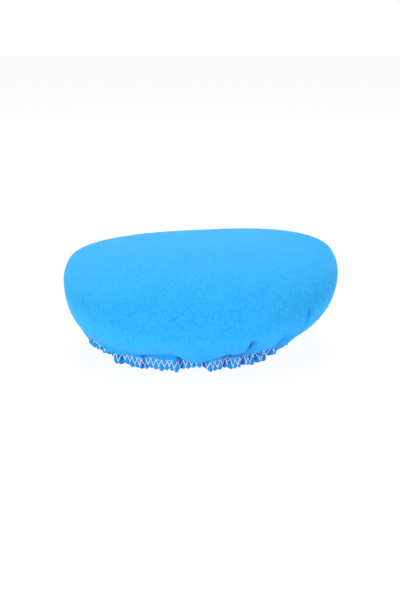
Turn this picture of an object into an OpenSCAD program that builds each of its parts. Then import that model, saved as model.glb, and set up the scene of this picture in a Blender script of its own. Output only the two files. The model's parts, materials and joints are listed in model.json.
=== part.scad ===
// Slip-on sponge filter: a foam cap whose raw edge is drawn in by an elastic band
// and overlocked with white thread.
// The origin is the centre of the mouth, in the plane of the elastic's lower edge.
// +Z points to the crown and -Y to the front. Bearings count from the front towards +X.

/* [Foam cap] */
// Width of the cap at its widest level
cap_w = 173.5; // [164:0.5:190]
// Depth of the cap from front to back
cap_d = 174; // [164:0.5:190]
// Height of the crown above the elastic's lower edge
cap_h = 63.7; // [60:0.1:70]
// Height of the widest level at the front
front_z = 26.2; // [24:0.2:38]
// Height of the widest level on the right
right_z = 52.6; // [44:0.2:53]
// Height of the widest level at the back
back_z = 44.2; // [38:0.2:49]
// Height of the widest level on the left
left_z = 48.2; // [40:0.2:49]
// Thickness of the foam sheet
foam_t = 5; // [4:0.25:6]
// How far the crown leans to the right of the mouth
lean = 7.4; // [0:0.2:8]
// Squareness of the plan, where 2 is an ellipse
plan_power = 2.6; // [2:0.1:3]

/* [Elastic hem] */
// Inner diameter of the relaxed elastic band
mouth_d = 120; // [112:1:124]
// Width of the elastic band
elastic_w = 6; // [5:0.25:6]
// Thickness of the elastic band
elastic_t = 0.9; // [0.7:0.1:1.1]
// Height of the gathered foam edge above the elastic's lower edge
hem_h = 7.4; // [7.2:0.1:9]
// Least thickness of the foam where the seam squeezes it
hem_foam_t = 3; // [2.5:0.25:3.5]
// How far the gathered edge waves in and out
ruffle = 1.7; // [1:0.1:2]
// How far the lumps of the raw edge hang below the elastic
hem_drop = 2.8; // [0:0.1:3]

/* [Overlock seam] */
// Number of overlock stitches round the mouth
stitch_n = 124; // [90:1:130]
// Diameter of the sewing thread
thread_d = 0.5; // [0.4:0.05:0.55]
// Height of the needle line where the raw edge is level with the elastic
needle_z = 6.4; // [6.2:0.1:6.8]

/* [Hidden] */
// Values at the front, on the right, at the back and on the left.
waist_heights = [front_z, right_z, back_z, left_z];
shoulder_powers = [2.1, 2.3, 2.65, 2]; // squareness of the shoulder, where 2 is an ellipse
flank_rolls = [86, 40, 78, 41]; // angle through which the flank rolls under towards the hem
crown_slope = 0.045; // rise of the crown per mm towards +X

// Each fold runs up from the hem: its bearing, its depth and how far it reaches.
folds = [
    [24, 7, 33], [36, 7, 38], [48, 5, 62], [102, 5, 25], [126, 6, 30], [150, 4.5, 20],
    [168, 5, 36], [198, 5, 20], [216, 5, 28], [240, 4.5, 20], [258, 3, 22]
];
fold_half = 3.5; // bearing over which a fold's depth falls to about a third
fold_start = 3; // distance from the hem over which a fold deepens
// Each lobe hangs out over the hem: its bearing and half width, how far it bulges and drops,
// and how far up the flank it reaches.
lobes = [
    [-80, 22, -1, 3.5, 16], [-40, 14, 3, 0.5, 8.5], [-15, 10, 0, -1.8, 20], [-9, 4.5, 1, -1.8, 20],
    [2, 6.5, 1.5, 2.8, 20], [16.5, 3.5, 0, -2, 20], [28, 4.5, 3, 2, 30], [40, 4.5, 2.5, 2, 34],
    [57, 8, 0, 2.8, 16], [80, 35, -1, 0, 55], [92, 8, 1, 0.5, 14], [115, 9, 4, 1, 13],
    [138, 9, 4.5, 3, 14], [160, 9, 3.5, 0, 11], [183, 10, 4.5, 2.5, 12.5], [206, 9, 4, 0.5, 10.5],
    [228, 9, 4.5, 3, 12], [249, 8, 3, 1.5, 11]
];
// Each lump of the raw edge: its bearing and half width, and how far it hangs down.
// The largest ones are pressed flat where the cap stands on them.
lumps = [
    [-76, 4, 0.4], [-64, 7, -1.4], [-42, 5, 2.2], [-33, 4, 1.2], [-24, 7.5, 5.4], [-12, 5, 2.2],
    [-6, 4, 2.2], [4, 3.5, -0.4], [12.5, 4.2, 2.4], [24.3, 4, 2.9], [30, 3.5, 0.6], [36, 4.5, 2.6],
    [44.5, 5, 2.2], [60, 8, -1.5], [80, 7, 1.8], [97, 6, 0.8], [118, 8, 2.2], [138, 11, 4.5],
    [160, 7, 1.4], [180, 8, 1.2], [203, 8, 2.4], [228, 11, 4.5], [252, 7, 1.6]
];

edge_round = 0.8; // rounding of the foam's raw edge
inner_lift = 3; // how much further up the inner wall of the hem reaches than the outer one
ruffle_fade = 3; // distance from the hem over which the waves of its edge die out
fit_gap = 0.1; // clearance between pieces that touch

mouth_r = mouth_d / 2;
foam_columns = 60;
column_step = 360 / foam_columns;
// The foam's inner wall is flat between two columns, so its corners stand off the round elastic.
hem_inner_r = (mouth_r + elastic_t + fit_gap) / cos(column_step / 2);
hem_r = hem_inner_r + hem_foam_t + ruffle;
// Rows count from the hem's edge (0) over its top (1) and the widest level (2) to the crown (3).
outer_rows = [0, 0.15, 1, 1.07, 1.18, 1.35, 1.6, 1.82, 2, 2.1, 2.25, 2.5, 2.78];
inner_rows = [0, 1, 1.22, 1.6, 2, 2.45, 2.78];

thread_r = thread_d / 2;
thread_sides = 4;
stitch_step = 360 / stitch_n;
foot_lift = 1.3; // height of a looper thread's foot above the raw edge
needle_follow = 0.9; // share of the raw edge's fall that the needle line takes part in
head_drop = thread_d + 2 * fit_gap; // distance from the needle line to the heads of the looper threads
loop_half = 0.3; // bearing of half a turn of a looper thread
needle_half = 0.085; // share of a stitch that half of a needle loop takes up

lap_bearing = 184; // middle of the place where the ends of the elastic overlap
lap_angle = 12; // bearing that the overlap covers
tack_strokes = 7; // strokes of the bar tack across the overlap
tack_angle = 5; // bearing that the bar tack covers
tack_margin = 1; // distance from the bar tack to the edges of the elastic

foam_blue = "#37BCFF";
thread_white = "#F8F9FC";
elastic_white = "#ECEAE5";

function heading(bearing) = [sin(bearing), -cos(bearing)];
function signed_turn(angle) = ((angle % 360) + 540) % 360 - 180;
function positive_turn(angle) = ((angle % 360) + 360) % 360;
function total(values, i = 0) = i < len(values) ? values[i] + total(values, i + 1) : 0;
function raised(point, z) = [point[0], point[1], z];

// A rounded ridge, 1 high, at a place and with a half width.
function ridge(bearing, place, half) = exp(-pow(signed_turn(bearing - place) / half, 2));
// A hump over 0 to 1 that is 1 high at a third of its length.
function hump(t) = t <= 0 || t >= 1 ? 0 : 6.75 * t * pow(1 - t, 2);
// A curve that runs out from 1 to 0.
function taper(t) = t >= 1 ? 0 : pow(1 - pow(t, 4), 2);
// Values that run smoothly through those of the four sides.
function by_side(bearing, values) =
    (values[0] + values[1] + values[2] + values[3]) / 4
    + (values[1] - values[3]) / 2 * sin(bearing)
    + (values[0] - values[2]) / 2 * cos(bearing)
    + (values[0] - values[1] + values[2] - values[3]) / 4 * cos(2 * bearing);

function plan_scale(bearing) =
    pow(pow(abs(sin(bearing)), plan_power) + pow(abs(cos(bearing)), plan_power), -1 / plan_power);
function waist_xy(bearing, inset) =
    [lean + (cap_w / 2 - inset) * plan_scale(bearing) * sin(bearing),
     -(cap_d / 2 - inset) * plan_scale(bearing) * cos(bearing)];
function waist_height(bearing) = by_side(bearing, waist_heights);

// Length of the flank from the hem to the widest level.
function flank_length(bearing) =
    let (half = by_side(bearing, flank_rolls) / 2,
         chord = [norm(waist_xy(bearing, 0)) - hem_r, waist_height(bearing) - hem_h])
    norm(chord) * half * PI / 180 / sin(half);

// How far the folds draw the foam in at a distance from the hem.
function fold_depth(bearing, run) =
    (1 - exp(-run / fold_start))
    * total([for (fold = folds) fold[1] * ridge(bearing, fold[0], fold_half) * taper(run / fold[2])]);
// How much of a lobe there is at a distance from the hem.
function swell(bearing, run, lobe) = ridge(bearing, lobe[0], lobe[1]) * hump(run / lobe[4]);
function lobe_bulge(bearing, run) = total([for (lobe = lobes) lobe[2] * swell(bearing, run, lobe)]);
function lobe_drop(bearing, run) = total([for (lobe = lobes) lobe[3] * swell(bearing, run, lobe)]);

// Height of the raw edge, which lumps pull down.
function edge_z(bearing) =
    max(-hem_drop, -total([for (lump = lumps) lump[2] * ridge(bearing, lump[0], lump[1])]));
// Radius of the gathered edge, which is the same from just above its rounding to its top.
function hem_radius(bearing) =
    hem_r - ruffle * min(1, total([for (fold = folds) ridge(bearing, fold[0], fold_half)]));
// The inner wall makes room for the lapped ends of the elastic.
function hem_inner_radius(bearing) =
    hem_inner_r + (abs(signed_turn(bearing - lap_bearing)) < lap_angle / 2 + column_step ? elastic_t : 0);
function hem_top(inset) = inset > 0 ? hem_h + inner_lift : hem_h;

function hem_point(bearing, share, inset) =
    let (rounding = share > 0 ? 0 : edge_round,
         radius = inset > 0 ? hem_inner_radius(bearing) + rounding / 2 : hem_radius(bearing) - rounding,
         low = edge_z(bearing))
    raised(radius * heading(bearing), low + (hem_top(inset) - low) * share);

function flank_point(bearing, share, inset) =
    let (roll = by_side(bearing, flank_rolls),
         angle = roll * (1 - share),
         inward = (1 - cos(angle)) / (1 - cos(roll)),
         down = sin(angle) / sin(roll),
         waist = waist_xy(bearing, inset),
         foot = (inset > 0 ? hem_inner_r : hem_r) * heading(bearing),
         top_z = waist_height(bearing),
         run = share * flank_length(bearing),
         wave = inset > 0 ? 0 : (hem_radius(bearing) - hem_r) * exp(-run / ruffle_fade),
         out = wave + lobe_bulge(bearing, run - inset) - fold_depth(bearing, run))
    raised(waist + (foot - waist) * inward + out * heading(bearing),
           top_z + (hem_top(inset) - top_z) * down - lobe_drop(bearing, run - inset));

function crown_point(bearing, share, inset) =
    let (angle = 90 * share,
         power = by_side(bearing, shoulder_powers),
         across = pow(cos(angle), 2 / power),
         up = pow(sin(angle), 2 / power),
         centre = [lean, 0],
         point = centre + (waist_xy(bearing, inset) - centre) * across,
         top_z = cap_h - inset + crown_slope * (point[0] - lean),
         rise = (top_z - waist_height(bearing)) * up,
         fold = fold_depth(bearing, flank_length(bearing) + rise))
    raised(point - fold * heading(bearing), waist_height(bearing) + rise);

function skin_point(bearing, row, inset) =
    row <= 1 ? hem_point(bearing, row, inset)
    : row <= 2 ? flank_point(bearing, row - 1, inset)
    : crown_point(bearing, row - 2, inset);
function skin(rows, inset) =
    [for (row = rows, j = [0:foam_columns - 1]) skin_point(j * column_step, row, inset)];

// Triangles between two rings of n points that start at indices a and b, b lying above a.
function band(a, b, n) =
    [for (j = [0:n - 1], half = [0, 1])
        let (k = (j + 1) % n)
        half == 0 ? [a + j, b + j, b + k] : [a + j, b + k, a + k]];
function fan(ring, tip, n) = [for (j = [0:n - 1]) [ring + j, tip, ring + (j + 1) % n]];
function flipped(faces) = [for (face = faces) [face[0], face[2], face[1]]];

module foam_cap() {
    n = foam_columns;
    outer = skin(outer_rows, 0);
    inner = skin(inner_rows, foam_t);
    outer_tip = len(outer) + len(inner);
    first_inner = len(outer);
    tips = [skin_point(0, 3, 0), skin_point(0, 3, foam_t)];
    outer_faces = [for (i = [0:len(outer_rows) - 2]) each band(i * n, (i + 1) * n, n)];
    inner_faces = [for (i = [0:len(inner_rows) - 2])
        each flipped(band(first_inner + i * n, first_inner + (i + 1) * n, n))];
    color(foam_blue)
        polyhedron(
            concat(outer, inner, tips),
            concat(
                outer_faces,
                inner_faces,
                fan((len(outer_rows) - 1) * n, outer_tip, n),
                flipped(fan(first_inner + (len(inner_rows) - 1) * n, outer_tip + 1, n)),
                band(first_inner, 0, n)
            )
        );
}

// A flat ring with one lapped end on its outside.
module elastic_band() {
    color(elastic_white) {
        rotate_extrude($fn = 180)
            translate([mouth_r, 0])
                square([elastic_t, elastic_w]);
        rotate([0, 0, lap_bearing - lap_angle / 2 - 90])
            rotate_extrude(angle = lap_angle, $fn = 180)
                translate([mouth_r + elastic_t / 2, 0])
                    square([elastic_t * 1.5, elastic_w]);
    }
}

function unit(v) = v / norm(v);
function outward(point) = unit([point[0], point[1], 0]);

// Points of a thread along a path. The rings face along the path, and one side of them faces the
// outside of the mouth, or upwards where flat is true.
function thread_rings(path, closed, flat) =
    let (n = len(path))
    [for (i = [0:n - 1])
        let (before = closed ? path[(i + n - 1) % n] : path[max(0, i - 1)],
             after = closed ? path[(i + 1) % n] : path[min(n - 1, i + 1)],
             along = unit(after - before),
             side = unit(cross(along, flat ? [0, 0, 1] : outward(path[i]))),
             face = cross(side, along))
        for (j = [0:thread_sides - 1])
            let (angle = 360 * (j + 0.5) / thread_sides)
            path[i] + thread_r * (cos(angle) * side + sin(angle) * face)];

module thread(path, closed = true, flat = false) {
    n = len(path);
    m = thread_sides;
    spans = closed ? n - 1 : n - 2;
    sides = [for (i = [0:spans]) each band(((i + 1) % n) * m, i * m, m)];
    ends = closed ? [] : [[for (j = [0:m - 1]) j], [for (j = [m - 1:-1:0]) (n - 1) * m + j]];
    color(thread_white)
        polyhedron(thread_rings(path, closed, flat), concat(sides, ends));
}

// The foam's edge is faceted, so threads on it read its radius and height between two columns.
edge_table = [for (j = [0:foam_columns]) [j * column_step, hem_radius(j * column_step)]];
foot_table = [for (j = [0:foam_columns]) [j * column_step, edge_z(j * column_step) + foot_lift]];
needle_table = [for (j = [0:foam_columns])
    [j * column_step, needle_z + needle_follow * min(0, edge_z(j * column_step))]];
function edge_radius(bearing) = lookup(positive_turn(bearing), edge_table);
function foot_height(bearing) = lookup(positive_turn(bearing), foot_table);
function needle_height(bearing) = lookup(positive_turn(bearing), needle_table);
function on_edge(bearing, z) = raised((edge_radius(bearing) + thread_r + fit_gap) * heading(bearing), z);
// Below the elastic, a thread lies against the foam's inner wall.
function on_elastic(bearing, z) =
    raised((mouth_r + (z < 0 ? elastic_t - thread_r : thread_r)) * heading(bearing), z);

// A looper thread zigzags between the needle line and the edge, with a small turn at each end.
function looper_bearing(i, foot, turn) = (i + foot / 2) * stitch_step + turn * loop_half;
function looper_height(bearing, foot) =
    foot == 1 ? foot_height(bearing) : needle_height(bearing) - head_drop;

module upper_looper_thread() {
    thread([for (i = [0:stitch_n - 1], foot = [0, 1], turn = [-1, 1])
        let (bearing = looper_bearing(i, foot, turn))
        on_edge(bearing, looper_height(bearing, foot))]);
}

module lower_looper_thread() {
    thread([for (i = [0:stitch_n - 1], foot = [0, 1], turn = [-1, 1])
        let (bearing = looper_bearing(i, foot, turn))
        on_elastic(bearing, looper_height(bearing, foot))]);
}

// The needle thread lies along the outside and dips through the foam and the elastic at each stitch.
function needle_bearing(i, turn) = (i + turn * needle_half) * stitch_step;
function needle_outside(bearing) = on_edge(bearing, needle_height(bearing));
function needle_inside(bearing) = on_elastic(bearing, needle_height(bearing));

module needle_thread() {
    thread(
        [for (i = [0:stitch_n - 1])
            each [
                needle_outside(needle_bearing(i, 2)),
                needle_outside(needle_bearing(i + 1, -2)),
                needle_inside(needle_bearing(i + 1, -1)),
                needle_inside(needle_bearing(i + 1, 1))
            ]],
        flat = true
    );
}

// The bar tack joins the lapped ends of the elastic.
module elastic_bar_tack() {
    pitch = tack_angle / tack_strokes;
    thread(
        [for (i = [0:tack_strokes], turn = [-1, 1])
            on_elastic(lap_bearing - tack_angle / 2 + i * pitch + turn * pitch / 5,
                       i % 2 == 0 ? tack_margin : elastic_w - tack_margin)],
        closed = false
    );
}

foam_cap();
elastic_band();
elastic_bar_tack();
needle_thread();
upper_looper_thread();
lower_looper_thread();
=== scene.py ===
"""Slip-on foam filter cap: a gathered foam dome with an overlocked elastic hem."""
import json
import math
import random

import bmesh
import bpy
import numpy as np
from bpy.props import FloatProperty, FloatVectorProperty, IntProperty, PointerProperty
from bpy.types import Operator, Panel, PropertyGroup
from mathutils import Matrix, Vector


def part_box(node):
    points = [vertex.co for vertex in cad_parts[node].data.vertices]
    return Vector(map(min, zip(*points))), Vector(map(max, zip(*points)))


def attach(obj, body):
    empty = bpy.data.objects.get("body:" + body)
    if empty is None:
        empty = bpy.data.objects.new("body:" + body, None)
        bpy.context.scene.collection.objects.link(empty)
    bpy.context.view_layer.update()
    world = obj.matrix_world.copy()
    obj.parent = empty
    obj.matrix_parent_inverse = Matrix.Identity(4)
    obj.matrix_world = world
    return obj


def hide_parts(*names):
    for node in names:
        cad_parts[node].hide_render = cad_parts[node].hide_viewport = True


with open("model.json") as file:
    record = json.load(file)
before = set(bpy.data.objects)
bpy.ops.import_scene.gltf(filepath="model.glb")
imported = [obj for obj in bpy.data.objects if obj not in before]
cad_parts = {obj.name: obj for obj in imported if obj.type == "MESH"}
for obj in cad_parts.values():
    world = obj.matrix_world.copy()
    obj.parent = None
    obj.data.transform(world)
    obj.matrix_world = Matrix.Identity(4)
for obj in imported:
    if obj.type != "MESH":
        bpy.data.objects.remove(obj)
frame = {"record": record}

bl_info = {
    "name": "Foam Filter Cap",
    "version": (1, 0, 0),
    "blender": (4, 5, 0),
    "location": "3D View > Sidebar > Filter Cap",
    "description": "Models a slip-on foam filter cap with an overlocked elastic hem",
    "category": "Add Mesh",
}

MM = 0.001
TURN = 2 * math.pi

# Sizes that the frame gives
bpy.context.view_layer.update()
CAP_LOW, CAP_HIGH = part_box("foam_cap")
ELASTIC_LOW, ELASTIC_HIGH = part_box("elastic_band")
_, NEEDLE_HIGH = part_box("needle_thread")
TACK_LOW, TACK_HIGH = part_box("elastic_bar_tack")
MOUTH = next(mount for mount in frame["record"]["mounts"] if mount["name"] == "mouth")
MOUTH_RADIUS = MOUTH["dims"]["r_mm"] * MM
ELASTIC_THICKNESS = ELASTIC_HIGH.x - MOUTH_RADIUS
LAP_MIDDLE = math.radians(184)  # bearing at which the ends of the elastic overlap
LAP_HALF = math.radians(6)
LAP_SINK = 0.2 * MM  # depth by which the lapped end is sewn into the band under it
NEEDLE_LEVEL = NEEDLE_HIGH.z

# Shape of the cap
PLAN_POWER = 2.6  # squareness of the plan, where 2 is an ellipse
# Values at the front, the right, the back and the left of the cap
WAIST_HEIGHTS = (26.2 * MM, 52.6 * MM, 44.2 * MM, 48.2 * MM)  # height of the widest level
SHOULDER_POWERS = (2.1, 2.3, 2.65, 2.1)  # squareness of the shoulder
FLANK_ROLLS = tuple(math.radians(angle) for angle in (86, 40, 78, 41))  # how far the flank rolls under
CROWN_SLOPE = 0.045  # rise of the crown towards +X
# Each fold runs up from the hem: its bearing, its half widths on the left and on the right in degrees,
# its depth in mm, the distances from the hem at which it starts and ends in mm, and the degrees by
# which it slants over 10 mm. Each sharp crease at the front is a narrow fold in a wide one.
FOLDS = (
    (22.1, 0.3, 1.1, 16.0, 8, 32, -0.6),
    (22.3, 0.5, 4.5, 6.0, 8, 33, -0.6),
    (34.5, 0.3, 1.4, 14.0, 8, 35, 0.0),
    (34.7, 0.5, 3.5, 7.0, 8, 36, 0.0),
    (43.3, 0.3, 0.8, 12.0, 22, 55, 0.0),
    (43.5, 0.5, 4.0, 3.0, 22, 60, 0.0),
    (104, 4.5, 1.0, 5.0, 0.6, 25, 2),
    (127, 1.0, 5.0, 6.0, 0.6, 30, -3),
    (150, 4.0, 1.2, 4.5, 0.6, 20, 4),
    (170, 1.2, 5.0, 5.0, 0.6, 36, 2.5),
    (195, 5.0, 1.0, 5.0, 0.6, 20, -6),
    (216, 1.0, 4.5, 5.0, 0.6, 28, 2),
    (238, 4.5, 1.2, 4.5, 0.6, 20, -4),
    (259, 1.2, 4.5, 3.0, 0.6, 22, 0),
)
FOLD_SPREAD = 50 * MM  # distance from the hem over which a fold's half widths double
FOLD_STOP_RUN = 3 * MM  # distance from the hem at which the wall that the folds leave is thickest
FOLD_STOP_HEIGHT = 11.2 * MM  # height above which the hem's inner wall no longer stops a fold
FOLD_STOP_SLOPE = 6  # how fast the stop gives way above that height
TUCK_DEPTH = 1.3 * MM  # how far the needle thread draws the foam in above the seam
TUCK_REACH = 5 * MM
# Each lobe hangs out over the hem: its bearing and half width in degrees, how far it bulges and drops
# in mm, and how far up the flank it reaches in mm.
LOBES = (
    (-80, 22, -1.0, 4.5, 14), (-54, 9, 0.0, -3.5, 14), (-40, 16, 5.0, 1.0, 10),
    (-15, 10, 0.0, -1.8, 20), (-9, 4.5, 1.0, -1.8, 20), (2, 6.5, 1.5, 2.8, 20),
    (16.5, 3.5, 0.0, -2.0, 20), (28.5, 4.5, 3.0, -0.5, 30), (41, 4.5, 2.5, 0.5, 34),
    (60, 7, 0.5, 1.5, 18), (80, 35, -1.0, 0.0, 55), (92, 8, 1.0, 0.5, 14),
    (115, 9, 4.0, 1.0, 13), (138, 9, 4.5, 3.0, 14), (160, 9, 3.5, 0.0, 11),
    (183, 10, 4.5, 2.5, 12.5), (206, 9, 4.0, 0.5, 10.5), (228, 9, 4.5, 3.0, 12),
    (249, 8, 3.0, 1.5, 11),
)

# Shape of the gathered edge
EDGE_ROUND = 1.1 * MM  # rounding of the raw edge
INNER_LIFT = 3 * MM  # how much further up the hem's inner wall reaches than its outer wall
# Each lump of the raw edge: its bearing and half width in degrees, and how far it hangs down in mm. The
# cap's weight presses the largest ones flat.
LUMPS = (
    (-76, 4, 0.4), (-62, 8, -2.0), (-49, 3.5, -2.0), (-41.5, 3.5, 3.0), (-33, 4, 1.2), (-26, 5.5, 2.8),
    (-14, 5, 2.2), (-6, 4, 2.2), (4, 3.5, -0.4), (13.8, 4.6, 2.9), (25, 4.4, 2.9), (31, 3.5, 0.6),
    (36, 4.5, 1.8), (44.5, 5, 2.2), (62, 7, -1.5), (80, 9, -1.8), (97, 6, 0.8), (118, 8, 2.2),
    (138, 11, 4.5), (160, 7, 1.4), (180, 8, 1.2), (203, 8, 2.4), (228, 11, 4.5), (252, 7, 1.6),
)
# Bearings of the tight puckers, at which the elastic has drawn the edge in
PUCKERS = (
    -74, -57, -39.5, -24.5, -4, 8.5, 19.5, 30.5, 40, 50, 62, 77, 91, 104, 121, 133, 150, 163, 180, 192,
    208, 223, 239, 252, 268,
)
PUCKER_DEPTH = 2.8 * MM
PUCKER_HALF = 1.2  # half width of a pucker in degrees
LEAST_EDGE = 0.8 * MM  # thickness left in the deepest part of the edge
EDGE_SAG = 0.5 * MM  # how far the small gathers wave the raw edge up and down
CRINKLE = 0.6 * MM  # how far the small gathers wave in and out
CRINKLE_WAVES = ((41, 0.40, 0.3), (59, 0.35, 1.9), (83, 0.25, 4.0))  # count, share, phase
CRINKLE_FADE = 2.5 * MM  # distance from the hem over which the small gathers die out
GROOVE_DEPTH = 1.3 * MM  # how far a thread sinks the foam
GROOVE_HALF = 0.75 * MM  # half width of the groove under a thread
NOTCH_DEPTHS = (0.2 * MM, 1.3 * MM)  # least and most that a stitch draws the raw edge up
NOTCH_HALF = 0.7 * MM
EDGE_SQUARE = 0.7  # how full the rounding of the raw edge is, where 1 is round
FOOT_LIFT = 0.1 * MM  # height of a stitch's foot above the rounding of the raw edge

# Rows along the foam's section: inner crown, flank and hem, raw edge, outer hem, flank and crown
ROWS = (6, 10, 4, 8, 16, 28, 18)
INNER_CROWN, INNER_FLANK, INNER_HEM, RAW_EDGE, OUTER_HEM, OUTER_FLANK, OUTER_CROWN = range(7)
COLUMN_CUTS = 3  # columns added between two knots of the seam
CREASES = (22, 34.5, 43.5)  # bearings at which the columns crowd together
CROWD_SHARE = 0.6  # share of its way to a crease by which a column moves
CROWD_REACH = math.radians(3.5)
FLANK_CROWDING = 1.5  # power by which the rows of the outer flank crowd towards the hem

# Sewing thread
STITCH_SEED = 11
NEEDLE_FOLLOW = 0.9  # share of the raw edge's rise and fall that the needle line takes part in
KNOT_JITTER = 0.3  # share of a stroke by which a knot strays along the hem
HEIGHT_JITTER = 0.35 * MM
STROKE_SAMPLES = 14
TURN_SHARE = 0.08  # share of a stroke that a turn of the thread takes up
TWIST_PITCH = 1.3 * MM  # length over which the two plies of a thread go round once
PLY_SIDES = 8
PLY_PINCH = 0.16  # share of the radius by which a thread is narrower between its plies
HEAD_DROP = 0.5 * MM  # distance from the needle line down to the heads of the stitches
THREAD_LIFT = 0.6  # share of its diameter by which the outer zigzag stands off the foam
OUTER_TURN, INNER_TURN = 0.75, 0.4  # shares of the raw edge's thickness at which the loopers turn
NEEDLE_SINK = 0.35 * MM  # depth to which the needle line lies in the foam
NEEDLE_RUN = (0.14, 0.86)  # shares of a stitch between which the needle thread lies outside
NEEDLE_DIP = (0.94, 1.06)  # shares at which it passes through the foam and back
TACK_STROKES = 9
ELASTIC_ROUND = 0.15 * MM  # rounding of the elastic's long edges

# Second tones of the materials
# The first colour is painted shade, mixed into the foam's creases and gathers by ambient occlusion
FOAM_PAINTED_SHADE = "#0B5AA6"
FOAM_BLOOM = "#DDF2FF"
THREAD_SHADE = "#C9CCD2"
# This colour is painted light: the thread glows with it, so that it looks lit in the hem's shade
THREAD_PAINTED_GLOW = "#F2F6FF"
ELASTIC_SHADE = "#C8C6C1"

# Stage
FLOOR_HALF = 6
FLOOR_GAP = 0.2 * MM  # distance from the lowest foam down to the floor
# Each light: its name, its place and its size in metres, and its power in watts
LIGHTS = (
    ("top_light", (0, 0, 1.8), 1.2, 16.5),
    ("back_light", (0, 1.0, 1.3), 1.0, 11),
    ("left_light", (-1.2, -1.1, 0.3), 0.5, 9),
    ("right_light", (1.2, -1.1, 0.5), 0.5, 5.5),
)
CAMERA_LENS = 64.6
CAMERA_TILT = math.radians(14.5)
CAMERA_DISTANCE = 0.7
CAMERA_TARGET = Vector((7.0, 0, 25.5)) * MM


def linear(hex_code):
    """Linear red, green and blue of an sRGB hex value."""
    parts = [int(hex_code[i:i + 2], 16) / 255 for i in (1, 3, 5)]
    return tuple(c / 12.92 if c <= 0.04045 else ((c + 0.055) / 1.055) ** 2.4 for c in parts)


class FilterCapSizes(PropertyGroup):
    """Sizes of the cap."""

    cap_width: FloatProperty(
        name="Cap Width", description="Width of the cap at its widest level",
        default=CAP_HIGH.x - CAP_LOW.x, unit="LENGTH")
    cap_depth: FloatProperty(
        name="Cap Depth", description="Depth of the cap from front to back",
        default=CAP_HIGH.y - CAP_LOW.y, unit="LENGTH")
    lean: FloatProperty(
        name="Lean", description="How far the crown leans to the right of the mouth",
        default=(CAP_HIGH.x + CAP_LOW.x) / 2, unit="LENGTH")
    crown_height: FloatProperty(
        name="Crown Height", description="Height of the crown's middle above the elastic's lower edge",
        default=63.7 * MM, unit="LENGTH")
    foam_thickness: FloatProperty(
        name="Foam Thickness", description="Thickness of the foam sheet",
        default=5 * MM, unit="LENGTH")
    hem_height: FloatProperty(
        name="Hem Height", description="Height of the gathered edge above the elastic's lower edge",
        default=7.4 * MM, unit="LENGTH")
    hem_foam: FloatProperty(
        name="Hem Foam", description="Least thickness of the foam in the seam",
        default=3 * MM, unit="LENGTH")
    ruffle: FloatProperty(
        name="Ruffle", description="How far the gathered edge waves in and out",
        default=1.7 * MM, unit="LENGTH")
    elastic_thickness: FloatProperty(
        name="Elastic Thickness", description="Thickness of the elastic band",
        default=ELASTIC_THICKNESS, unit="LENGTH")
    thread_diameter: FloatProperty(
        name="Thread Diameter", description="Diameter of the sewing thread",
        default=0.62 * MM, unit="LENGTH")
    stitches: IntProperty(
        name="Stitches", description="Number of overlock stitches round the mouth", default=124, min=40)


class FilterCapColours(PropertyGroup):
    """Colours of the cap."""

    foam: FloatVectorProperty(
        name="Foam", description="Colour of the foam", subtype="COLOR", default=linear("#34B8FF"))
    foam_pore: FloatVectorProperty(
        name="Foam Pore", description="Colour in the foam's pores", subtype="COLOR",
        default=linear("#1496E8"))
    thread: FloatVectorProperty(
        name="Thread", description="Colour of the sewing thread", subtype="COLOR",
        default=linear("#F8F9FC"))
    elastic: FloatVectorProperty(
        name="Elastic", description="Colour of the elastic band", subtype="COLOR",
        default=linear("#ECEAE5"))


def heading(bearing):
    """Unit vectors that point from the axis towards a bearing."""
    return np.stack((np.sin(bearing), -np.cos(bearing)), axis=-1)


def signed_turn(angle):
    """The same angle between minus half a turn and half a turn."""
    return (angle + math.pi) % TURN - math.pi


def hump(share):
    """A hump over 0 to 1 that is 1 high at a third of its length."""
    inside = np.clip(share, 0, 1)
    return 6.75 * inside * (1 - inside) ** 2


def by_side(bearing, values):
    """Values that run smoothly through those at the front, the right, the back and the left."""
    front, right, back, left = values
    level = (front + right + back + left) / 4
    pinch = (front - right + back - left) / 4
    return (level + (right - left) / 2 * np.sin(bearing) + (front - back) / 2 * np.cos(bearing)
            + pinch * np.cos(2 * bearing))


def taper(share):
    """A curve that runs out from 1 to 0."""
    return (1 - np.clip(share, 0, 1) ** 4) ** 2


def ridge(bearing, place, half):
    """A rounded ridge, 1 high, at a place and with a half width in degrees."""
    return np.exp(-(signed_turn(bearing - np.radians(place)) / math.radians(half)) ** 2)


def crinkle(bearing):
    """The small gathers, from -1 to 1."""
    return sum(share * np.sin(count * bearing + phase) for count, share, phase in CRINKLE_WAVES)


def lump(bearing):
    """How far the raw edge hangs down."""
    return sum(drop * MM * ridge(bearing, place, half) for place, half, drop in LUMPS)


def edge_rest(bearing):
    """Height of the raw edge between two stitches."""
    return np.maximum(-lump(bearing) - EDGE_SAG * crinkle(bearing), CAP_LOW.z)


def needle_height(bearing):
    """Height of the needle line, which follows the raw edge where that hangs down."""
    return NEEDLE_LEVEL - NEEDLE_FOLLOW * np.maximum(lump(bearing), 0)


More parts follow.
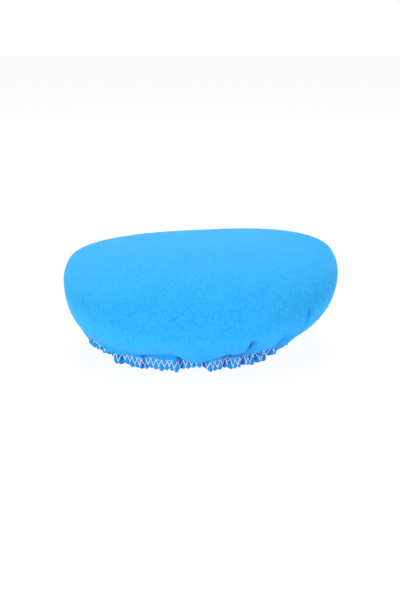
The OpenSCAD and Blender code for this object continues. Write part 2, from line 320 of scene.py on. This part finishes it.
class Seam:
    """The knots of the overlock seam, in turn at the needle line and at the raw edge."""

    def __init__(self, sizes):
        draw = random.Random(STITCH_SEED)
        self.count = 2 * sizes.stitches
        self.step = TURN / self.count
        self.bearing = np.array(
            [(i + draw.uniform(-KNOT_JITTER, KNOT_JITTER)) * self.step for i in range(self.count)])
        self.height = np.array([draw.uniform(-HEIGHT_JITTER, HEIGHT_JITTER) for i in range(self.count)])
        self.notch = np.array([draw.uniform(*NOTCH_DEPTHS) for i in range(self.count)])
        self.height[0::2] += needle_height(self.bearing[0::2]) - HEAD_DROP
        edge = edge_rest(self.bearing[1::2]) + self.notch[1::2]
        self.height[1::2] += edge + EDGE_ROUND + FOOT_LIFT

    def stroke(self, index, share):
        """Bearing and height at a share of the stroke that starts at a knot."""
        start, end = index % self.count, (index + 1) % self.count
        span = signed_turn(self.bearing[end] - self.bearing[start])
        bearing = self.bearing[start] + span * share
        height = self.height[start] + (self.height[end] - self.height[start]) * share
        return bearing, height

    def nearest_stroke(self, bearing, height, radius):
        """Distance from each point of the hem to the nearest stroke."""
        first = np.floor(bearing / self.step).astype(int)
        least = np.full(len(bearing), np.inf)
        for offset in (-1, 0, 1):
            start = (first + offset) % self.count
            end = (start + 1) % self.count
            share = (height - self.height[start]) / (self.height[end] - self.height[start])
            place, reach = self.stroke(start, np.clip(share, 0, 1))
            across = signed_turn(bearing - place) * radius
            least = np.minimum(least, np.hypot(across, height - reach))
        return least

    def nearest_foot(self, bearing):
        """The nearest knot at the raw edge, and the turn to it."""
        foot = (np.floor(bearing / (2 * self.step)).astype(int) * 2 + 1) % self.count
        return foot, signed_turn(bearing - self.bearing[foot])


class CapShape:
    """The foam's surface. A point has a bearing from the front and a path along the section."""

    def __init__(self, sizes):
        self.sizes = sizes
        self.seam = Seam(sizes)
        self.hem_inner = MOUTH_RADIUS + sizes.elastic_thickness
        self.hem_outer = self.hem_inner + sizes.hem_foam + sizes.ruffle

    def waist(self, bearing, inset):
        """Points of the widest level."""
        plan = np.abs(heading(bearing)) ** PLAN_POWER
        scale = plan.sum(axis=1) ** (-1 / PLAN_POWER)
        half = np.array((self.sizes.cap_width / 2 - inset, self.sizes.cap_depth / 2 - inset))
        place = scale[:, None] * heading(bearing) * half + (self.sizes.lean, 0)
        return np.column_stack((place, by_side(bearing, WAIST_HEIGHTS)))

    def crown(self, bearing, share, inset):
        """The top, from the widest level at 0 to the middle at 1."""
        angle = np.clip(share, 0, 1) * math.pi / 2
        power = by_side(bearing, SHOULDER_POWERS)
        across = np.clip(np.cos(angle), 0, 1) ** (2 / power)
        up = np.sin(angle) ** (2 / power)
        points = self.waist(bearing, inset)
        points[:, 0] = self.sizes.lean + (points[:, 0] - self.sizes.lean) * across
        points[:, 1] *= across
        top = self.sizes.crown_height - inset + CROWN_SLOPE * (points[:, 0] - self.sizes.lean)
        rise = (top - points[:, 2]) * up
        points[:, 2] += rise
        _, inward = self.valley(bearing, self.flank_length(bearing) + rise)
        points[:, :2] -= inward[:, None] * heading(bearing)
        return points

    def flank_length(self, bearing):
        """Length of the flank from the hem to the widest level."""
        waist = self.waist(bearing, 0)
        across = np.hypot(waist[:, 0], waist[:, 1]) - self.hem_outer
        half = by_side(bearing, FLANK_ROLLS) / 2
        return np.hypot(across, waist[:, 2] - self.sizes.hem_height) * half / np.sin(half)

    def valley(self, bearing, run):
        """How much of each fold there is at a distance from the hem, and how far it draws in."""
        ruffle = 0
        inward = 0
        for place, left, right, depth, start, end, slant in FOLDS:
            turn = np.degrees(signed_turn(bearing - np.radians(place + slant * run / (10 * MM))))
            half = np.where(turn < 0, left, right) * (1 + run / FOLD_SPREAD)
            crease = np.exp(-(turn / half) ** 2)
            ruffle = np.maximum(ruffle, crease)
            rise = 1 - np.exp(-(run / (start * MM)) ** 4)
            inward = inward + depth * MM * rise * taper(run / (end * MM)) * crease
        return ruffle, inward

    def hem_radius(self, bearing):
        """Radius of the gathered edge's outside."""
        ruffle, _ = self.valley(bearing, np.zeros(len(bearing)))
        pucker = sum(ridge(bearing, place, PUCKER_HALF) for place in PUCKERS)
        radius = self.hem_outer - self.sizes.ruffle * ruffle - PUCKER_DEPTH * pucker
        return np.maximum(radius + CRINKLE * crinkle(bearing), self.hem_inner + 2 * LEAST_EDGE)

    def edge_height(self, bearing):
        """Height of the raw edge, which each stitch draws up."""
        foot, turn = self.seam.nearest_foot(bearing)
        away = turn * self.hem_outer / NOTCH_HALF
        return edge_rest(bearing) + self.seam.notch[foot] * np.exp(-away ** 2)

    def flank(self, bearing, share, inset):
        """The side, from the hem at 0 to the widest level at 1."""
        roll = by_side(bearing, FLANK_ROLLS)
        angle = roll * (1 - share)
        inward = (1 - np.cos(angle)) / (1 - np.cos(roll))
        down = np.sin(angle) / np.sin(roll)
        points = self.waist(bearing, inset)
        foot = self.hem_inner if inset else self.hem_outer
        points[:, :2] += (foot * heading(bearing) - points[:, :2]) * inward[:, None]
        points[:, 2] += (self.hem_top(inset) - points[:, 2]) * down
        run = share * self.flank_length(bearing)
        _, inward = self.valley(bearing, run)
        shift = -inward - (0 if inset else TUCK_DEPTH * hump(run / TUCK_REACH))
        for place, half, bulge, drop, reach in LOBES:
            swell = hump((run - inset) / (reach * MM)) * ridge(bearing, place, half) * MM
            shift = shift + bulge * swell
            points[:, 2] -= drop * swell
        if not inset:
            shift = shift + (self.hem_radius(bearing) - self.hem_outer) * np.exp(-run / CRINKLE_FADE)
        points[:, :2] += shift[:, None] * heading(bearing)
        if not inset:
            short = self.least_radius(run, points[:, 2]) - np.hypot(points[:, 0], points[:, 1])
            points[:, :2] += np.maximum(short, 0)[:, None] * heading(bearing)
        return points

    def least_radius(self, run, height):
        """Radius at which the hem's inner wall stops the folds of the flank's outside."""
        wall = 2 * LEAST_EDGE * (1 + np.clip(run / FOLD_STOP_RUN, 0, 1))
        above = np.maximum(height - FOLD_STOP_HEIGHT, 0)
        return self.hem_inner + wall - FOLD_STOP_SLOPE * above

    def hem_top(self, inner):
        """Height of the top of the gathered edge's wall."""
        return self.sizes.hem_height + (INNER_LIFT if inner else 0)

    def hem(self, bearing, share, inner):
        """The gathered edge's wall, from the raw edge at 0 to its top at 1."""
        low = self.edge_height(bearing) + EDGE_ROUND
        height = low + (self.hem_top(inner) - low) * share
        if inner:
            lap = np.abs(signed_turn(bearing - LAP_MIDDLE)) / LAP_HALF
            recess = np.clip(3 - 2 * lap, 0, 1)  # room for the second layer of the lapped elastic
            radius = self.hem_inner + self.sizes.elastic_thickness * recess
        else:
            radius = self.hem_radius(bearing)
            away = self.seam.nearest_stroke(bearing, height, self.hem_outer)
            groove = GROOVE_DEPTH * np.exp(-(away / GROOVE_HALF) ** 2)
            radius = radius - groove * (1 - share ** 6)  # the grooves end below the top of the wall
            radius = np.maximum(radius, self.hem_inner + LEAST_EDGE)
        return np.column_stack((radius[:, None] * heading(bearing), height))

    def raw_edge(self, bearing, share):
        """The cut edge, from the inner wall at 0 to the outer wall at 1."""
        inner = self.hem(bearing, np.zeros(len(bearing)), True)
        outer = self.hem(bearing, np.zeros(len(bearing)), False)
        angle = math.pi * (1 - share)
        lean = np.cos(angle)
        blend = 0.5 + 0.5 * np.sign(lean) * np.abs(lean) ** EDGE_SQUARE
        points = inner + (outer - inner) * blend[:, None]
        points[:, 2] -= EDGE_ROUND * np.sin(angle) ** EDGE_SQUARE
        return points

    def points(self, bearing, path):
        """Points at their bearings and at their paths along the section."""
        part = np.minimum(path.astype(int), OUTER_CROWN)
        share = path - part
        inset = self.sizes.foam_thickness
        shapes = {
            INNER_CROWN: lambda b, s: self.crown(b, 1 - s, inset),
            INNER_FLANK: lambda b, s: self.flank(b, 1 - s, inset),
            INNER_HEM: lambda b, s: self.hem(b, 1 - s, True),
            RAW_EDGE: self.raw_edge,
            OUTER_HEM: lambda b, s: self.hem(b, s, False),
            OUTER_FLANK: lambda b, s: self.flank(b, s ** FLANK_CROWDING, 0),
            OUTER_CROWN: lambda b, s: self.crown(b, s, 0),
        }
        points = np.zeros((len(path), 3))
        for index, shape in shapes.items():
            chosen = part == index
            if chosen.any():
                points[chosen] = shape(bearing[chosen], share[chosen])
        return points


def add_node(tree, kind, inputs=None, **settings):
    """Adds a node, sets it up and links or fills its inputs."""
    node = tree.nodes.new(kind)
    for name, value in settings.items():
        setattr(node, name, value)
    for name, value in (inputs or {}).items():
        if isinstance(value, bpy.types.NodeSocket):
            tree.links.new(value, node.inputs[name])
        else:
            node.inputs[name].default_value = value
    return node


def new_material(name):
    """An empty material and its node tree."""
    material = bpy.data.materials.new(name)
    material.use_nodes = True
    material.node_tree.nodes.clear()
    return material, material.node_tree


def shown_rays(tree):
    """1 for the rays that show the white background, and 0 for those that light the cap."""
    rays = add_node(tree, "ShaderNodeLightPath").outputs
    seen = add_node(tree, "ShaderNodeMath", {0: rays["Is Camera Ray"], 1: rays["Is Glossy Ray"]},
                    operation="ADD")
    shown = add_node(tree, "ShaderNodeMath", {
        0: seen.outputs["Value"], 1: rays["Is Transmission Ray"]}, operation="ADD", use_clamp=True)
    return shown.outputs["Value"]


def polyurethane_foam(colours):
    """Open-cell polyurethane foam: matt, finely pored, with a soft bloom at its rims and painted shade
    in its creases.
    """
    material, tree = new_material("open_cell_polyurethane_foam")
    place = add_node(tree, "ShaderNodeTexCoord").outputs["Object"]
    # The real pores are about 0.5 mm wide. They are drawn coarser, so that they show.
    pores = add_node(tree, "ShaderNodeTexVoronoi", {"Vector": place, "Scale": 1 / (1.2 * MM)})
    cells = add_node(tree, "ShaderNodeTexNoise", {
        "Vector": place, "Scale": 1 / (1.7 * MM), "Detail": 3.0, "Roughness": 0.7})
    cloud = add_node(tree, "ShaderNodeTexNoise", {
        "Vector": place, "Scale": 1 / (14 * MM), "Detail": 2.0})
    pit = add_node(tree, "ShaderNodeMapRange", {
        "Value": pores.outputs["Distance"], "From Min": 0.05, "From Max": 0.5,
        "To Min": 0.4, "To Max": 0.0})
    grain = add_node(tree, "ShaderNodeMath", {0: cells.outputs["Fac"], 1: 1.9, 2: -0.85},
                     operation="MULTIPLY_ADD")
    shade = add_node(tree, "ShaderNodeMath", {0: pit.outputs["Result"], 1: grain.outputs["Value"]},
                     operation="ADD", use_clamp=True)
    drift = add_node(tree, "ShaderNodeMath", {0: cloud.outputs["Fac"], 1: 0.25, 2: -0.1},
                     operation="MULTIPLY_ADD")
    dark = add_node(tree, "ShaderNodeMath", {0: shade.outputs["Value"], 1: drift.outputs["Value"]},
                    operation="ADD", use_clamp=True)
    colour = add_node(tree, "ShaderNodeMix", {
        "Factor": dark.outputs["Value"], "A": (*colours.foam, 1), "B": (*colours.foam_pore, 1)},
        data_type="RGBA")
    # Painted shade: where the ambient occlusion is low, in creases and gathers, the colour is mixed
    # towards a deep blue, so that they look darker.
    hollow = add_node(tree, "ShaderNodeAmbientOcclusion", {"Distance": 8 * MM}, samples=12,
                      only_local=True)
    closed = add_node(tree, "ShaderNodeMapRange", {
        "Value": hollow.outputs["AO"], "From Min": 0.1, "From Max": 0.8, "To Min": 1.0, "To Max": 0.0})
    tone = add_node(tree, "ShaderNodeMix", {
        "Factor": closed.outputs["Result"], "A": colour.outputs["Result"],
        "B": (*linear(FOAM_PAINTED_SHADE), 1)}, data_type="RGBA")
    bump = add_node(tree, "ShaderNodeBump", {
        "Height": shade.outputs["Value"], "Strength": 0.35, "Distance": 0.25 * MM}, invert=True)
    surface = add_node(tree, "ShaderNodeBsdfPrincipled", {
        "Base Color": tone.outputs["Result"], "Roughness": 0.95, "Specular IOR Level": 0.15,
        "Sheen Weight": 0.13, "Sheen Roughness": 0.45, "Sheen Tint": (*linear(FOAM_BLOOM), 1),
        "Normal": bump.outputs["Normal"]})
    add_node(tree, "ShaderNodeOutputMaterial", {"Surface": surface.outputs["BSDF"]})
    return material


def polyester_thread(colours):
    """Spun polyester sewing thread: white, matt and fibrous, with a faint painted glow that makes it
    look lit in the hem's shade.
    """
    material, tree = new_material("spun_polyester_thread")
    place = add_node(tree, "ShaderNodeTexCoord").outputs["Object"]
    fibres = add_node(tree, "ShaderNodeTexNoise", {
        "Vector": place, "Scale": 1 / (0.25 * MM), "Detail": 2.0})
    shade = add_node(tree, "ShaderNodeMapRange", {
        "Value": fibres.outputs["Fac"], "From Min": 0.3, "From Max": 0.7,
        "To Min": 0.0, "To Max": 0.15})
    colour = add_node(tree, "ShaderNodeMix", {
        "Factor": shade.outputs["Result"], "A": (*colours.thread, 1), "B": (*linear(THREAD_SHADE), 1)},
        data_type="RGBA")
    bump = add_node(tree, "ShaderNodeBump", {
        "Height": fibres.outputs["Fac"], "Strength": 0.4, "Distance": 0.05 * MM})
    # The emission is painted light: a faint glow that makes the thread look lit where the hem shades
    # it.
    surface = add_node(tree, "ShaderNodeBsdfPrincipled", {
        "Base Color": colour.outputs["Result"], "Roughness": 0.7, "Specular IOR Level": 0.35,
        "Sheen Weight": 0.2, "Sheen Roughness": 0.4, "Normal": bump.outputs["Normal"],
        "Emission Color": (*linear(THREAD_PAINTED_GLOW), 1), "Emission Strength": 0.15})
    add_node(tree, "ShaderNodeOutputMaterial", {"Surface": surface.outputs["BSDF"]})
    return material


def woven_elastic(colours):
    """Woven elastic: rubber cords under white yarn, so it is ribbed along and ticked across."""
    material, tree = new_material("woven_elastic")
    place = add_node(tree, "ShaderNodeUVMap", uv_map="along_and_across").outputs["UV"]
    split = add_node(tree, "ShaderNodeSeparateXYZ", {"Vector": place})
    picks = add_node(tree, "ShaderNodeMath", {0: split.outputs["X"], 1: TURN / (0.8 * MM)},
                     operation="MULTIPLY")
    tick = add_node(tree, "ShaderNodeMath", {0: picks.outputs["Value"]}, operation="SINE")
    cords = add_node(tree, "ShaderNodeMath", {0: split.outputs["Y"], 1: TURN / (1.0 * MM)},
                     operation="MULTIPLY")
    rib = add_node(tree, "ShaderNodeMath", {0: cords.outputs["Value"]}, operation="SINE")
    weave = add_node(tree, "ShaderNodeMath", {0: tick.outputs["Value"], 1: rib.outputs["Value"]},
                     operation="MULTIPLY")
    height = add_node(tree, "ShaderNodeMapRange", {
        "Value": weave.outputs["Value"], "From Min": -1.0, "From Max": 1.0})
    colour = add_node(tree, "ShaderNodeMix", {
        "Factor": height.outputs["Result"], "A": (*linear(ELASTIC_SHADE), 1),
        "B": (*colours.elastic, 1)}, data_type="RGBA")
    bump = add_node(tree, "ShaderNodeBump", {
        "Height": height.outputs["Result"], "Strength": 0.5, "Distance": 0.12 * MM})
    surface = add_node(tree, "ShaderNodeBsdfPrincipled", {
        "Base Color": colour.outputs["Result"], "Roughness": 0.75, "Specular IOR Level": 0.3,
        "Normal": bump.outputs["Normal"]})
    add_node(tree, "ShaderNodeOutputMaterial", {"Surface": surface.outputs["BSDF"]})
    return material


def studio_floor():
    """Matt white paper sweep: white to the camera, with the cap's soft shadow kept."""
    material, tree = new_material("white_paper_sweep")
    paper = add_node(tree, "ShaderNodeBsdfDiffuse", {"Color": (0.9, 0.9, 0.9, 1)})
    glow = add_node(tree, "ShaderNodeEmission", {"Color": (1, 1, 1, 1), "Strength": 0.94})
    veil = add_node(tree, "ShaderNodeBsdfDiffuse", {"Color": (0.1, 0.1, 0.1, 1)})
    white = add_node(tree, "ShaderNodeAddShader", {
        0: glow.outputs["Emission"], 1: veil.outputs["BSDF"]})
    backlight = add_node(tree, "ShaderNodeEmission", {"Color": (1, 1, 1, 1), "Strength": 0.3})
    sheet = add_node(tree, "ShaderNodeAddShader", {
        0: backlight.outputs["Emission"], 1: paper.outputs["BSDF"]})
    mix = add_node(tree, "ShaderNodeMixShader", {
        "Fac": shown_rays(tree), 1: sheet.outputs["Shader"], 2: white.outputs["Shader"]})
    add_node(tree, "ShaderNodeOutputMaterial", {"Surface": mix.outputs["Shader"]})
    return material


def new_piece(name, mesh, material, node):
    """Links a mesh as the piece that stands for a node of the frame."""
    mesh.materials.append(material)
    mesh.shade_smooth()
    piece = bpy.data.objects.new(name, mesh)
    bpy.context.scene.collection.objects.link(piece)
    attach(piece, "root")
    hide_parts(node)
    return piece


def crowd(bearing):
    """Draws the columns together at the sharp creases."""
    for place in CREASES:
        turn = signed_turn(bearing - math.radians(place))
        bearing = bearing - CROWD_SHARE * turn * np.exp(-(turn / CROWD_REACH) ** 2)
    return bearing % TURN


def section_path():
    """Paths of the rows along the foam's section, from the inner to the outer middle of the crown."""
    rows = [part + i / count for part, count in enumerate(ROWS) for i in range(count)]
    return np.array(rows + [float(len(ROWS))])


def foam_mesh(sizes):
    """Spins the foam's section round the mouth, then gathers it."""
    shape = CapShape(sizes)
    path = section_path()
    section = shape.points(np.zeros(len(path)), path)
    bm = bmesh.new()
    layer = bm.verts.layers.float.new("path")
    chain = []
    for step, (_, y, z) in zip(path, section):
        vert = bm.verts.new((0, y, z))
        vert[layer] = step
        chain.append(vert)
    edges = [bm.edges.new(pair) for pair in zip(chain, chain[1:])]
    bmesh.ops.spin(bm, geom=chain + edges, cent=(0, 0, 0), axis=(0, 0, 1), angle=TURN,
                   steps=shape.seam.count, use_merge=True)
    bmesh.ops.remove_doubles(bm, verts=bm.verts, dist=0.0001 * MM)
    rings = [edge for edge in bm.edges if abs(edge.verts[0][layer] - edge.verts[1][layer]) < 1e-4]
    bmesh.ops.subdivide_edges(bm, edges=rings, cuts=COLUMN_CUTS, use_grid_fill=True)
    bearing = np.array([math.atan2(vert.co.x, -vert.co.y) for vert in bm.verts]) % TURN
    path = np.array([vert[layer] for vert in bm.verts])
    for vert, point in zip(bm.verts, shape.points(crowd(bearing), path)):
        vert.co = point
    bmesh.ops.recalc_face_normals(bm, faces=bm.faces)
    mesh = bpy.data.meshes.new("foam_cap_mesh")
    bm.to_mesh(mesh)
    bm.free()
    mesh.attributes.remove(mesh.attributes["path"])
    return mesh


def ply_profile(radius):
    """Section of a thread of two plies."""
    curve = bpy.data.curves.new("ply_profile", "CURVE")
    spline = curve.splines.new("POLY")
    spline.points.add(PLY_SIDES - 1)
    for i, point in enumerate(spline.points):
        angle = TURN * i / PLY_SIDES
        reach = radius * (1 - PLY_PINCH + PLY_PINCH * math.cos(2 * angle))
        point.co = (reach * math.cos(angle), reach * math.sin(angle), 0, 1)
    spline.use_cyclic_u = True
    return bpy.data.objects.new("ply_profile", curve)


def thread_mesh(name, points, radius, closed=True):
    """A twisted thread along a line of points."""
    points = np.asarray(points)
    lengths = np.linalg.norm(np.diff(points, axis=0), axis=1)
    along = np.concatenate(([0], np.cumsum(lengths)))
    curve = bpy.data.curves.new(name, "CURVE")
    curve.dimensions = "3D"
    curve.bevel_mode = "OBJECT"
    curve.bevel_object = ply_profile(radius)
    curve.use_fill_caps = True
    spline = curve.splines.new("POLY")
    spline.points.add(len(points) - 1)
    spline.points.foreach_set("co", np.column_stack((points, np.ones(len(points)))).ravel())
    spline.points.foreach_set("tilt", TURN * along / TWIST_PITCH)
    spline.use_cyclic_u = closed
    holder = bpy.data.objects.new(name, curve)
    bpy.context.scene.collection.objects.link(holder)
    bpy.context.scene.collection.objects.link(curve.bevel_object)
    depsgraph = bpy.context.evaluated_depsgraph_get()
    mesh = bpy.data.meshes.new_from_object(holder.evaluated_get(depsgraph))
    mesh.name = name + "_mesh"
    bpy.data.objects.remove(curve.bevel_object)
    bpy.data.objects.remove(holder)
    mesh.materials.clear()
    return mesh


def around(bearing, radius, height):
    """Points at their bearings, radii and heights."""
    bearing = np.atleast_1d(bearing)
    radius = np.broadcast_to(radius, bearing.shape)
    height = np.broadcast_to(height, bearing.shape)
    return np.column_stack((radius[:, None] * heading(bearing), height))


def raw_edge_turn(shape, sizes, index, share):
    """The point at which the looper threads cross under the raw edge, at a share of its thickness."""
    foot = shape.seam.bearing[index:index + 1]
    radius = shape.hem_inner + (shape.hem_radius(foot) - shape.hem_inner) * share
    return around(foot, radius, shape.edge_height(foot) - 0.25 * sizes.thread_diameter)


def outer_looper_path(shape, sizes):
    """The zigzag on the outside of the hem, which wraps round the raw edge at its feet."""
    lift = THREAD_LIFT * sizes.thread_diameter
    share = np.linspace(TURN_SHARE, 1 - TURN_SHARE, STROKE_SAMPLES)
    strokes = []
    for index in range(shape.seam.count):
        if index % 2:
            strokes.append(raw_edge_turn(shape, sizes, index, OUTER_TURN))
        bearing, height = shape.seam.stroke(index, share)
        low = shape.edge_height(bearing) + EDGE_ROUND
        level = np.clip((height - low) / (sizes.hem_height - low), 0, 1)
        wall = shape.hem(bearing, level, False)
        radius = np.hypot(wall[:, 0], wall[:, 1]) + lift
        strokes.append(around(bearing, radius, height))
    return np.concatenate(strokes)


def inner_looper_path(shape, sizes):
    """The zigzag on the inside of the hem, over the elastic, which meets the outer one below."""
    radius = MOUTH_RADIUS + sizes.thread_diameter / 2
    share = np.linspace(TURN_SHARE, 1 - TURN_SHARE, STROKE_SAMPLES)
    strokes = []
    for index in range(shape.seam.count):
        if index % 2:
            strokes.append(raw_edge_turn(shape, sizes, index, INNER_TURN))
        bearing, height = shape.seam.stroke(index, share)
        strokes.append(around(bearing, radius, height))
    return np.concatenate(strokes)


def needle_path(shape, sizes):
    """The needle line: along the outside of the hem, with a dip through the foam at each head."""
    share = np.linspace(*NEEDLE_RUN, 7)
    dip = np.array(NEEDLE_DIP)
    inside = MOUTH_RADIUS + sizes.elastic_thickness - sizes.thread_diameter / 2
    runs = []
    for index in range(0, shape.seam.count, 2):
        start = shape.seam.bearing[index]
        span = signed_turn(shape.seam.bearing[(index + 2) % shape.seam.count] - start)
        bearing = start + span * share
        outside = shape.hem_radius(bearing) - NEEDLE_SINK
        runs.append(around(bearing, outside, needle_height(bearing)))
        runs.append(around(start + span * dip, inside, needle_height(start + span * dip)))
    return np.concatenate(runs)


def bar_tack_path(sizes):
    """A short zigzag across the lapped ends of the elastic."""
    radius = MOUTH_RADIUS + sizes.thread_diameter / 2
    first = math.atan2(TACK_LOW.x, -TACK_LOW.y) % TURN
    last = math.atan2(TACK_HIGH.x, -TACK_HIGH.y) % TURN
    bearing = np.repeat(np.linspace(last, first, TACK_STROKES + 1), 2)
    bearing[1::2] += 0.3 * (first - last) / TACK_STROKES
    height = np.where(np.arange(len(bearing)) // 2 % 2, TACK_LOW.z, TACK_HIGH.z)
    return around(bearing, radius, height)


class FILTERCAP_OT_foam(Operator):
    """Model the gathered foam cap"""

    bl_idname = "filter_cap.foam"
    bl_label = "Foam Cap"

    def execute(self, context):
        sizes = context.scene.filter_cap_sizes
        material = polyurethane_foam(context.scene.filter_cap_colours)
        piece = new_piece("gathered_foam_cap", foam_mesh(sizes), material, "foam_cap")
        return {"FINISHED"}


class FILTERCAP_OT_elastic(Operator):
    """Model the woven elastic band in the hem"""

    bl_idname = "filter_cap.elastic"
    bl_label = "Elastic Band"

    def execute(self, context):
        sizes = context.scene.filter_cap_sizes
        material = woven_elastic(context.scene.filter_cap_colours)
        low, high = ELASTIC_LOW.z, ELASTIC_HIGH.z
        inner = MOUTH_RADIUS + sizes.thread_diameter / 2
        outer = MOUTH_RADIUS + sizes.elastic_thickness
        # The band and its lapped end: inner and outer radius, start, turn and steps
        bands = (
            (inner, outer, 0, TURN, 180),
            (outer - LAP_SINK, outer + sizes.elastic_thickness, LAP_MIDDLE - LAP_HALF, 2 * LAP_HALF, 8),
        )
        bm = bmesh.new()
        for near, far, start, turn, steps in bands:
            corners = ((near, low), (far, low), (far, high), (near, high))
            verts = [bm.verts.new((*(radius * heading(start)), height)) for radius, height in corners]
            edges = [bm.edges.new((verts[i], verts[(i + 1) % len(verts)])) for i in range(len(verts))]
            bmesh.ops.spin(bm, geom=verts + edges, cent=(0, 0, 0), axis=(0, 0, 1), angle=turn,
                           steps=steps, use_merge=turn == TURN)
        bmesh.ops.holes_fill(bm, edges=[edge for edge in bm.edges if edge.is_boundary], sides=4)
        rims = [edge for edge in bm.edges if abs(edge.verts[0].co.z - edge.verts[1].co.z) < 1e-7
                and abs(edge.verts[0].co.xy.length - edge.verts[1].co.xy.length) < 1e-7]
        bmesh.ops.bevel(bm, geom=rims, offset=ELASTIC_ROUND, affect="EDGES", segments=2, profile=0.5,
                        material=-1)
        bmesh.ops.recalc_face_normals(bm, faces=bm.faces)
        uv = bm.loops.layers.uv.new("along_and_across")
        for face in bm.faces:
            middle = math.atan2(*face.calc_center_median().xy)
            for loop in face.loops:
                turn = signed_turn(math.atan2(*loop.vert.co.xy) - middle)
                loop[uv].uv = ((middle + turn) * inner, loop.vert.co.z)
        mesh = bpy.data.meshes.new("elastic_band_mesh")
        bm.to_mesh(mesh)
        bm.free()
        new_piece("woven_elastic_band", mesh, material, "elastic_band")
        return {"FINISHED"}


class FILTERCAP_OT_threads(Operator):
    """Sew the overlock seam and the bar tack"""

    bl_idname = "filter_cap.threads"
    bl_label = "Sewing Threads"

    def execute(self, context):
        sizes = context.scene.filter_cap_sizes
        material = polyester_thread(context.scene.filter_cap_colours)
        shape = CapShape(sizes)
        radius = sizes.thread_diameter / 2
        threads = (
            ("outer_looper_stitches", outer_looper_path(shape, sizes), "upper_looper_thread", True),
            ("inner_looper_stitches", inner_looper_path(shape, sizes), "lower_looper_thread", True),
            ("needle_stitches", needle_path(shape, sizes), "needle_thread", True),
            ("bar_tack_stitches", bar_tack_path(sizes), "elastic_bar_tack", False),
        )
        for name, path, node, closed in threads:
            new_piece(name, thread_mesh(name, path, radius, closed), material, node)
        return {"FINISHED"}


class FILTERCAP_OT_stage(Operator):
    """Set up the floor, the lights and the camera"""

    bl_idname = "filter_cap.stage"
    bl_label = "Studio Stage"

    def execute(self, context):
        scene = context.scene
        bm = bmesh.new()
        bmesh.ops.create_grid(bm, x_segments=1, y_segments=1, size=FLOOR_HALF)
        bmesh.ops.translate(bm, verts=bm.verts, vec=(0, 0, CAP_LOW.z - FLOOR_GAP))
        mesh = bpy.data.meshes.new("floor_mesh")
        bm.to_mesh(mesh)
        bm.free()
        mesh.materials.append(studio_floor())
        floor = bpy.data.objects.new("floor", mesh)
        scene.collection.objects.link(floor)

        for name, place, size, power in LIGHTS:
            light = bpy.data.lights.new(name, "AREA")
            light.shape = "DISK"
            light.size = size
            light.energy = power
            lamp = bpy.data.objects.new(name, light)
            lamp.location = place
            lamp.rotation_euler = (-Vector(place)).to_track_quat("-Z", "Y").to_euler()
            scene.collection.objects.link(lamp)

        world = bpy.data.worlds.new("white_studio")
        world.use_nodes = True
        world.node_tree.nodes.clear()
        tree = world.node_tree
        level = add_node(tree, "ShaderNodeMapRange", {
            "Value": shown_rays(tree), "To Min": 0.18, "To Max": 1.0})
        sky = add_node(tree, "ShaderNodeBackground", {
            "Color": (1, 1, 1, 1), "Strength": level.outputs["Result"]})
        add_node(tree, "ShaderNodeOutputWorld", {"Surface": sky.outputs["Background"]})
        scene.world = world
        scene.view_settings.view_transform = "Standard"

        camera = bpy.data.cameras.new("camera")
        camera.sensor_width = 36
        camera.lens = CAMERA_LENS
        eye = bpy.data.objects.new("camera", camera)
        back = Vector((0, -math.cos(CAMERA_TILT), math.sin(CAMERA_TILT)))
        eye.location = CAMERA_TARGET + back * CAMERA_DISTANCE
        eye.rotation_euler = (-back).to_track_quat("-Z", "Y").to_euler()
        scene.collection.objects.link(eye)
        scene.camera = eye
        return {"FINISHED"}


class FILTERCAP_PT_sidebar(Panel):
    """Sidebar panel with the steps and their settings"""

    bl_label = "Foam Filter Cap"
    bl_idname = "FILTERCAP_PT_sidebar"
    bl_space_type = "VIEW_3D"
    bl_region_type = "UI"
    bl_category = "Filter Cap"

    def draw(self, context):
        for group in (context.scene.filter_cap_sizes, context.scene.filter_cap_colours):
            for name in group.__annotations__:
                self.layout.prop(group, name)
        for step in STEPS:
            self.layout.operator(step.bl_idname)


STEPS = (FILTERCAP_OT_stage, FILTERCAP_OT_foam, FILTERCAP_OT_elastic, FILTERCAP_OT_threads)
CLASSES = (FilterCapSizes, FilterCapColours, *STEPS, FILTERCAP_PT_sidebar)


def register():
    for cls in CLASSES:
        bpy.utils.register_class(cls)
    bpy.types.Scene.filter_cap_sizes = PointerProperty(type=FilterCapSizes)
    bpy.types.Scene.filter_cap_colours = PointerProperty(type=FilterCapColours)


def unregister():
    del bpy.types.Scene.filter_cap_colours
    del bpy.types.Scene.filter_cap_sizes
    for cls in reversed(CLASSES):
        bpy.utils.unregister_class(cls)


def main():
    register()
    bpy.ops.filter_cap.stage()
    bpy.ops.filter_cap.foam()
    bpy.ops.filter_cap.elastic()
    bpy.ops.filter_cap.threads()


if __name__ == "__main__":
    main()
